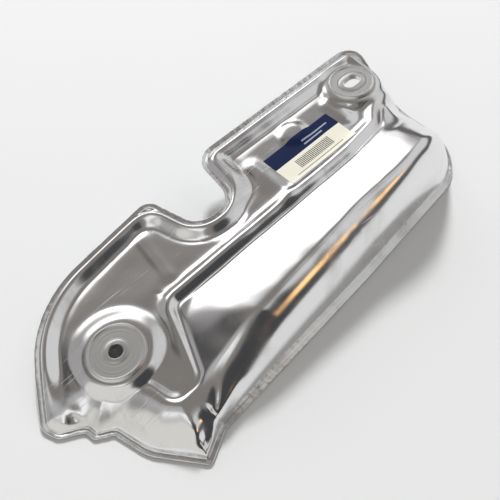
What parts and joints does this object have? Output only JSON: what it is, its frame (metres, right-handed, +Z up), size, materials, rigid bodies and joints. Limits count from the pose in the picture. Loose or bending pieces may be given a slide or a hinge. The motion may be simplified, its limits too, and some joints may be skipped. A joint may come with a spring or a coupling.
{
  "type": "exhaust heat shield",
  "caption": "Pressed aluminium exhaust heat shield with a domed side, a notch, a rolled hem, two clinched washer fixings and a paper label",
  "frame": {"origin": "Middle of the part's footprint on the surface it lies on, +Z up", "axes": "+X along the part's length towards the tall end, +Y across it towards the notched side, +Z up"},
  "size_m": [0.3524, 0.1656, 0.054],
  "materials": {
    "shield_sheet": "bright pressed sheet with scuffs and small creases",
    "washer_steel": "dull plated steel",
    "eyelet_steel": "dull plated steel, clinched",
    "label_paper": null
  },
  "bodies": {
    "root": {"shield": "shield_sheet", "lower_front_washer": "washer_steel", "lower_back_washer": "washer_steel", "lower_eyelet": "eyelet_steel", "upper_front_washer": "washer_steel", "upper_back_washer": "washer_steel", "upper_eyelet": "eyelet_steel", "label": "label_paper"}
  },
  "joints": []
}
